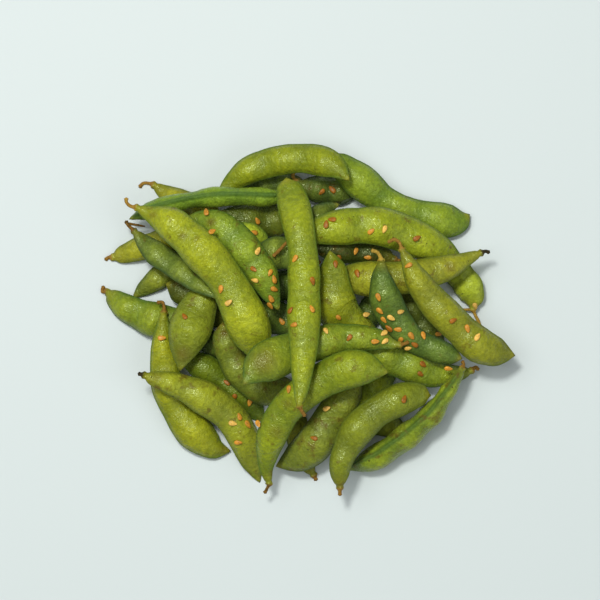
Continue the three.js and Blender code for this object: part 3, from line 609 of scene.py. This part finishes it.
def addSprig(bm, start, heading, length):
    # a thin dried shoot that tapers and curls down a little
    layer = bm.verts.layers.float["stalk"]
    facing = Vector((0, 0, 1)).rotation_difference(heading).to_matrix().to_4x4()
    ring = bmesh.ops.create_circle(
        bm,
        cap_ends=True,
        segments=sprigMake["sides"],
        radius=sprigMake["radius"] * mm,
        matrix=Matrix.Translation(start) @ facing,
    )["verts"]
    everyVert = list(ring)
    face = ring[0].link_faces[0]
    steps = sprigMake["steps"]
    for step in range(steps):
        grown = bmesh.ops.extrude_face_region(bm, geom=[face])["geom"]
        if step:
            bmesh.ops.delete(bm, geom=[face], context="FACES_ONLY")
        ring = [item for item in grown if isinstance(item, bmesh.types.BMVert)]
        face = next(item for item in grown if isinstance(item, bmesh.types.BMFace))
        curl = Vector((0, 0, -sprigMake["curl"] * (step + 1)))
        bmesh.ops.translate(bm, verts=ring, vec=(heading + curl) * (length * mm / steps))
        middle = sum((vert.co for vert in ring), Vector()) / len(ring)
        narrower = sprigMake["tipTaper"] if step == steps - 1 else sprigMake["taper"]
        bmesh.ops.scale(bm, verts=ring, vec=Vector((narrower,) * 3), space=Matrix.Translation(-middle))
        everyVert += ring
    for vert in everyVert:
        vert[layer] = 1.0


def makePod(nodeName, seed):
    look = podLooks[nodeName]
    middles, wides, thicks, roll, stalkEnd, tipEnd = sectionsOf(nodeName)
    knots = np.concatenate([[0], np.cumsum(np.linalg.norm(np.diff(middles, axis=0), axis=1))])
    length = knots[-1]
    # the collar sits at the last ring that is narrower than a collar
    firstWide = next(index for index, wide in enumerate(wides) if wide > podMake["collarRadius"])
    neck = knots[firstWide - 1]
    randomPod = random.Random(seed)

    # rings close together on the stalk, wider apart on the pod
    fineEnd = neck + podMake["finePastCollar"]
    stalkSteps = max(4, round(fineEnd / podMake["stepStalk"]))
    podSteps = max(12, round((length - fineEnd) / podMake["stepAlong"]))
    along = np.concatenate([
        np.linspace(0, fineEnd, stalkSteps, endpoint=False),
        np.linspace(fineEnd, length, podSteps + 1),
    ])
    rows = len(along)
    centre = smoothThrough(knots, middles, along)
    wide = smoothThrough(knots, wides, along)[:, 0]
    thick = smoothThrough(knots, thicks, along)[:, 0]
    ahead = np.gradient(centre[:, :2], along, axis=0)
    ahead /= np.linalg.norm(ahead, axis=1)[:, None]
    side = np.stack([ahead[:, 1], -ahead[:, 0], np.zeros(rows)], axis=1)

    # stalk, collar and the narrow neck behind it
    fromNeck = along - neck
    isStalk = 1 / (1 + np.exp(np.clip(fromNeck * 5.0, -40, 40)))
    stalkShape = podMake["stalkRadius"] * (1 + podMake["stalkFlare"] * bell(along, 0.6))
    collarOut = podMake["collarRadius"] - podMake["stalkRadius"]
    stalkShape += collarOut * bell(fromNeck, podMake["collarLength"])
    neckPinch = 1 - podMake["neckPinch"] * bell(fromNeck - 1.1, 0.6)
    wide = np.where(fromNeck < 0.25, np.minimum(stalkShape, wide + 0.15), wide * neckPinch)
    thick = np.where(fromNeck < 0.25, np.minimum(stalkShape, thick + 0.15), thick * neckPinch)

    # beans: where the pod is thickest for its width
    fullness = thick / wide
    beanPlaces = []
    for row in range(3, rows - 3):
        peak = fullness[row] >= fullness[row - 3:row + 4].max()
        full = fullness[row] > podMake["beanFullness"] and wide[row] > podMake["beanWidth"]
        if peak and full and fromNeck[row] > podMake["beanSpacing"]:
            if not beanPlaces or along[row] - beanPlaces[-1] > podMake["beanSpacing"]:
                beanPlaces.append(along[row])
    dome = np.zeros(rows)
    for place in beanPlaces:
        others = [abs(place - other) for other in beanPlaces if other != place]
        nearest = min(others, default=podMake["loneBean"])
        swell = min(podMake["beanReach"], nearest * 0.5) * 0.82
        dome = np.maximum(dome, bell(along - place, swell))

    # the skin as a grid: rows along the pod, columns around it, closer together at the seams
    columns = podMake["around"]
    turn = np.linspace(0, 2 * math.pi, columns + 1)
    angle = turn - podMake["crowding"] * np.sin(2 * turn)
    cosine, sine = np.cos(angle), np.sin(angle)
    pinched = np.sign(sine) * np.abs(sine) ** podMake["seamPinch"]
    rise = pinched * (1 - isStalk[:, None]) + sine * isStalk[:, None]
    sideways = wide[:, None] * cosine
    up = thick[:, None] * rise
    face = np.abs(sine)[None] ** 1.3

    arc = np.zeros((rows, columns + 1))
    arc[:, 1:] = np.cumsum(np.hypot(np.diff(sideways, axis=1), np.diff(up, axis=1)), axis=1)
    half = arc[:, columns // 2][:, None]
    fromSeam = np.minimum(np.minimum(arc, np.abs(arc - half)), arc[:, -1:] - arc)

    level = sideways * math.cos(roll) - up * math.sin(roll)
    skin = centre[:, None] + side[:, None] * level[..., None]
    skin[..., 2] += sideways * math.sin(roll) + up * math.cos(roll)

    # which way is out, at each place on the skin
    stepAround = np.gradient(skin, axis=1)
    stepAround[:, 0] = stepAround[:, -1] = skin[:, 1] - skin[:, -2]
    outward = np.cross(stepAround, np.gradient(skin, axis=0))
    outward /= np.maximum(np.linalg.norm(outward, axis=2), 1e-9)[..., None]
    outward *= np.where((outward * (skin - centre[:, None])).sum(axis=2) < 0, -1, 1)[..., None]

    # relief: hollows between the beans, a cord along each seam, wrinkles, a ragged collar
    podOnly = (np.clip((fromNeck - 1.5) / 3.0, 0, 1) * np.clip((length - along) / 3.0, 0, 1))[:, None]
    relief = -podMake["hollow"] * (1 - dome)[:, None] * face * podOnly
    relief += podMake["seamRidge"] * bell(fromSeam, podMake["seamWidth"]) * podOnly
    groove = bell(fromSeam - podMake["grooveFrom"], podMake["grooveWidth"])
    relief -= podMake["seamGroove"] * groove * podOnly
    rough = np.zeros((rows, columns + 1))
    shift = Vector((seed * 7.31, seed * 3.17, seed * 1.73))
    large, small = podMake["wrinkleSizes"]
    for row in range(rows):
        for column in range(columns):
            point = Vector(skin[row, column]) + shift
            rough[row, column] = noise.noise(point / large) + 0.5 * noise.noise(point / small)
    rough[:, columns] = rough[:, 0]
    relief += podMake["wrinkle"] * rough * (podOnly * (0.35 + 0.65 * face) + 0.6 * isStalk[:, None])
    lobeCount, lobeDepth = podMake["collarRags"]
    lobes = np.cos(lobeCount * turn + randomPod.uniform(0, 6))[None]
    relief += lobeDepth * lobes * bell(fromNeck - 0.1, 0.5)[:, None]
    skin += outward * relief[..., None]
    skin[0], skin[-1] = stalkEnd, tipEnd
    skin = np.clip(skin, np.array(cadBounds[0]) / mm, np.array(cadBounds[1]) / mm)

    bruise = np.zeros((rows, columns + 1))
    for place, around, radius, strength in look.get("bruises", []):
        away = np.hypot((fromNeck - place * (length - neck))[:, None], arc - around / 180 * half)
        bruise = np.maximum(bruise, strength * bell(away, radius))
    ends = np.maximum(0.7 * bell(length - along, 1.4), 0.5 * bell(np.maximum(fromNeck, 0), 3.5))
    oneRow = np.ones((1, columns + 1))
    values = {
        # lighter green over each bean: partly painted light on the domes, partly the thinner skin there
        "swell": np.clip(dome[:, None] * (0.25 + 0.75 * face) * 0.75 + 0.12, 0, 1),
        "seam": fromSeam + 4.0 * isStalk[:, None],
        "stalk": isStalk[:, None] * oneRow,
        "bruise": bruise,
        "marks": np.full((rows, columns + 1), look["marks"]),
        "dry": np.full((rows, columns + 1), look["dry"]),
        "end": ends[:, None] * oneRow,
    }
    # the tint carries each pod's shade, with its painted shade and painted light
    tint = [look["shade"] * (1 + step * look["warmth"]) for step in podMake["warmth"]]

    mesh = bpy.data.meshes.new(nodeName)
    bm = bmesh.new()
    bmesh.ops.create_grid(bm, x_segments=rows - 1, y_segments=columns, size=0.5)
    bm.to_mesh(mesh)
    bm.free()
    corners = np.empty(len(mesh.vertices) * 3)
    mesh.vertices.foreach_get("co", corners)
    corners = corners.reshape(-1, 3)
    rowOf = np.rint((corners[:, 0] + 0.5) * (rows - 1)).astype(int)
    columnOf = np.rint((corners[:, 1] + 0.5) * columns).astype(int)
    mesh.vertices.foreach_set("co", (skin[rowOf, columnOf] * mm).ravel())
    for name, table in values.items():
        layer = mesh.attributes.new(name, "FLOAT", "POINT")
        layer.data.foreach_set("value", table[rowOf, columnOf].astype(np.float32))
    tints = mesh.attributes.new("tint", "FLOAT_COLOR", "POINT")
    tints.data.foreach_set("color", np.tile(np.array([*tint, 1.0], np.float32), len(rowOf)))
    loopVertex = np.empty(len(mesh.loops), int)
    mesh.loops.foreach_get("vertex_index", loopVertex)
    loopRow, loopColumn = rowOf[loopVertex], columnOf[loopVertex]
    uv = np.stack([along[loopRow] + seed * 13.7, arc[loopRow, loopColumn]], axis=1)
    mesh.uv_layers.new(name="skinMap").data.foreach_set("uv", uv.astype(np.float32).ravel())

    # the seam and the two ends are closed, then the dried shoots are added
    bm = bmesh.new()
    bm.from_mesh(mesh)
    bmesh.ops.remove_doubles(bm, verts=bm.verts, dist=2e-7)
    dryLayer = bm.verts.layers.float["dry"]
    for place, turnOff, reach in look.get("sprigs", []):
        row = int(np.searchsorted(along, place * neck))
        heading = Vector((*ahead[row], 0.0))
        heading.rotate(Matrix.Rotation(math.radians(turnOff), 3, "Z"))
        addSprig(bm, Vector(centre[row]) * mm, heading, reach)
    for vert in bm.verts:
        vert[dryLayer] = look["dry"]
        vert.co = [min(max(value, low), high) for value, low, high in zip(vert.co, *cadBounds)]
    bmesh.ops.recalc_face_normals(bm, faces=bm.faces)
    for patch in bm.faces:
        patch.smooth = True
    bm.to_mesh(mesh)
    bm.free()
    mesh.materials.append(podMaterials[look["slot"]])
    _, layerName, number = nodeName.split("_")
    pod = bpy.data.objects.new(f"{layerName}Pod{number}", mesh)
    scene.collection.objects.link(pod)
    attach(pod, "root")
    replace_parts(pod, nodeName)
    return {"piece": pod, "centre": centre * mm, "wide": wide * mm, "side": side, "isStalk": isStalk}


pods = {name: makePod(name, seed) for seed, name in enumerate(podLooks, start=1)}
faceCount = sum(len(pod["piece"].data.polygons) for pod in pods.values())
print("pods ready:", len(pods), "with", faceCount, "faces")

# Sesame seeds: the ones of the plain model, and loose ones that fall on the pods
seedLook = {
    "colours": {"tan": (200, 138, 44), "pale": (220, 176, 82), "toasted": (152, 94, 16)},
    "size": (3.1, 1.8, 1.0),  # mm
    "sizeSpread": (0.88, 1.06),
    "taper": 0.32,
    "dent": 0.16,  # how much thinner a seed is along its middle
    "roughness": (0.34, 0.55),
    "specular": 0.3,
    "bumpDepth": 0.00006,
    "shadeSpread": (0.88, 1.1),
    "dropFrom": 0.2,  # m over the table, higher than any pod
    "aside": 0.75,  # how far from the pod's middle a seed may fall, as a part of its half width
    "spacing": 2.6,  # mm between the middles of two seeds
    "levelness": 0.62,  # a seed slides off a steeper skin than this
    "lift": 0.42,  # from the skin to the middle of the seed, mm
    "tries": 60,
    "perPod": {  # how many loose seeds fall on a pod, and between which parts of its length
        "pod_top_01": (9, 0.35, 0.8), "pod_top_04": (4, 0.1, 0.45), "pod_top_02": (3, 0.5, 0.75),
        "pod_top_03": (1, 0.6, 0.75), "pod_top_07": (2, 0.3, 0.95), "pod_top_05": (1, 0.5, 0.6),
        "pod_middle_03": (3, 0.1, 0.9), "pod_middle_05": (2, 0.3, 0.9), "pod_middle_06": (2, 0.2, 0.5),
        "pod_middle_08": (1, 0.3, 0.6), "pod_middle_11": (3, 0.6, 0.9), "pod_middle_13": (4, 0.6, 0.85),
        "pod_middle_09": (1, 0.4, 0.7), "pod_middle_04": (2, 0.5, 0.9), "pod_bottom_09": (2, 0.4, 0.8),
        "pod_bottom_11": (3, 0.2, 0.8), "pod_bottom_16": (2, 0.5, 0.8), "pod_bottom_08": (4, 0.3, 0.8),
        "pod_bottom_14": (3, 0.5, 0.8), "pod_bottom_21": (3, 0.5, 0.8), "pod_bottom_06": (1, 0.5, 0.8),
        "pod_bottom_17": (1, 0.1, 0.3), "pod_bottom_05": (1, 0.4, 0.8),
    },
}


def sesameMaterial():
    material = bpy.data.materials.new("sesameSkin")
    material.use_nodes = True
    tree = material.node_tree
    shader = tree.nodes["Principled BSDF"]
    place = addNode(tree, "ShaderNodeTexCoord", (-900, 0)).outputs["Object"]
    tint = attributeNode(tree, (-900, 300), "tint").outputs["Color"]
    mottle = noiseNode(tree, (-700, 0), place, 900.0, 3.0, 0.6)
    spots = rangeNode(tree, (-500, 100), mottle, 0.3, 0.7, 0.72, 1.15)
    colour = mixColour(tree, (-300, 200), 1.0, tint, spots, "MULTIPLY")
    tree.links.new(colour, shader.inputs["Base Color"])
    fine = noiseNode(tree, (-700, -250), place, 3500.0, 2.0, 0.6)
    roughness = rangeNode(tree, (-300, -100), fine, 0.3, 0.7, *seedLook["roughness"])
    tree.links.new(roughness, shader.inputs["Roughness"])
    shader.inputs["Specular IOR Level"].default_value = seedLook["specular"]
    bump = addNode(tree, "ShaderNodeBump", (-300, -300))
    bump.inputs["Strength"].default_value = 0.5
    bump.inputs["Distance"].default_value = seedLook["bumpDepth"]
    tree.links.new(fine, bump.inputs["Height"])
    tree.links.new(bump.outputs["Normal"], shader.inputs["Normal"])
    return material


sesameSkin = sesameMaterial()


def sesameShape(bm, place, tint, tintLayer, segments):
    # a flat teardrop with a dent along its middle, its point towards its own +X
    made = bmesh.ops.create_uvsphere(
        bm, u_segments=segments, v_segments=segments - 4, radius=1.0
    )["verts"]
    bmesh.ops.rotate(bm, verts=made, cent=(0, 0, 0), matrix=Matrix.Rotation(math.pi / 2, 3, "Y"))
    for vert in made:
        x, y, z = vert.co
        narrower = 1 - seedLook["taper"] * x
        dent = 1 - seedLook["dent"] * math.exp(-((y / 0.3) ** 2))
        vert.co = Vector((x, y * narrower, z * narrower * dent))
        vert[tintLayer] = tint
    bmesh.ops.scale(bm, verts=made, vec=Vector(seedLook["size"]) * (mm / 2))
    bmesh.ops.transform(bm, verts=made, matrix=place)


def finishSesame(bm, name):
    for patch in bm.faces:
        patch.smooth = True
    bmesh.ops.recalc_face_normals(bm, faces=bm.faces)
    mesh = bpy.data.meshes.new(name)
    bm.to_mesh(mesh)
    bm.free()
    mesh.materials.append(sesameSkin)
    piece = bpy.data.objects.new(name, mesh)
    scene.collection.objects.link(piece)
    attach(piece, "root")
    return piece


seedRandom = random.Random(41)


def seedTint():
    name = seedRandom.choices(("tan", "pale", "toasted"), (6, 2, 3))[0]
    shade = seedRandom.uniform(*seedLook["shadeSpread"])
    return [value * shade for value in linear(*seedLook["colours"][name])]


sesameMiddles = []
for nodeName in sorted(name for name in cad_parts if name.startswith("sesame_seed")):
    bm = mergedCad(nodeName)
    corners = np.array([tuple(vert.co) for vert in bm.verts])
    bm.free()
    centre = (corners.max(axis=0) + corners.min(axis=0)) / 2
    lengthways, _, upwards = np.linalg.svd(corners - corners.mean(axis=0))[2]
    fromCentre = corners - centre
    widthAt = np.linalg.norm(np.cross(fromCentre, lengthways), axis=1)
    lengthways = lengthways * np.sign(-(fromCentre @ lengthways) @ (widthAt - widthAt.mean()))
    upwards = upwards * np.sign(upwards[2])
    turned = Matrix((lengthways, np.cross(upwards, lengthways), upwards)).transposed().to_4x4()
    bm = bmesh.new()
    tintLayer = bm.verts.layers.float_color.new("tint")
    sesameShape(bm, Matrix.Translation(centre) @ turned, seedTint(), tintLayer, 20)
    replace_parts(finishSesame(bm, "sesameSeed" + nodeName[-2:]), nodeName)
    sesameMiddles.append(Vector(centre))

# a loose seed falls over its pod and stays on whatever is on top there
podSkins = bmesh.new()
for pod in pods.values():
    podSkins.from_mesh(pod["piece"].data)
landing = BVHTree.FromBMesh(podSkins)
podSkins.free()
bm = bmesh.new()
tintLayer = bm.verts.layers.float_color.new("tint")
looseCount = 0
for nodeName, (count, first, last) in seedLook["perPod"].items():
    pod = pods[nodeName]
    landed = 0
    for _ in range(seedLook["tries"]):
        if landed == count:
            break
        body = np.flatnonzero(pod["isStalk"] < 0.5)
        row = body[int(seedRandom.uniform(first, last) * (len(body) - 1))]
        aside = seedRandom.uniform(-seedLook["aside"], seedLook["aside"])
        above = Vector(pod["centre"][row] + pod["side"][row] * pod["wide"][row] * aside)
        above.z = seedLook["dropFrom"]
        hit, normal, _, _ = landing.ray_cast(above, Vector((0, 0, -1)))
        crowded = any((hit - other).length < seedLook["spacing"] * mm for other in sesameMiddles)
        if normal.z < seedLook["levelness"] or crowded:
            continue
        sesameMiddles.append(hit)
        upright = Vector((0, 0, 1)).rotation_difference(normal).to_matrix().to_4x4()
        spin = Matrix.Rotation(seedRandom.uniform(0, 2 * math.pi), 4, "Z")
        size = Matrix.Scale(seedRandom.uniform(*seedLook["sizeSpread"]), 4)
        middle = hit + normal * seedLook["lift"] * mm
        lying = Matrix.Translation(middle) @ upright @ spin @ size
        sesameShape(bm, lying, seedTint(), tintLayer, 14)
        landed += 1
    looseCount += landed
finishSesame(bm, "looseSesame")
print("sesame ready:", looseCount, "loose")

print("scene ready")
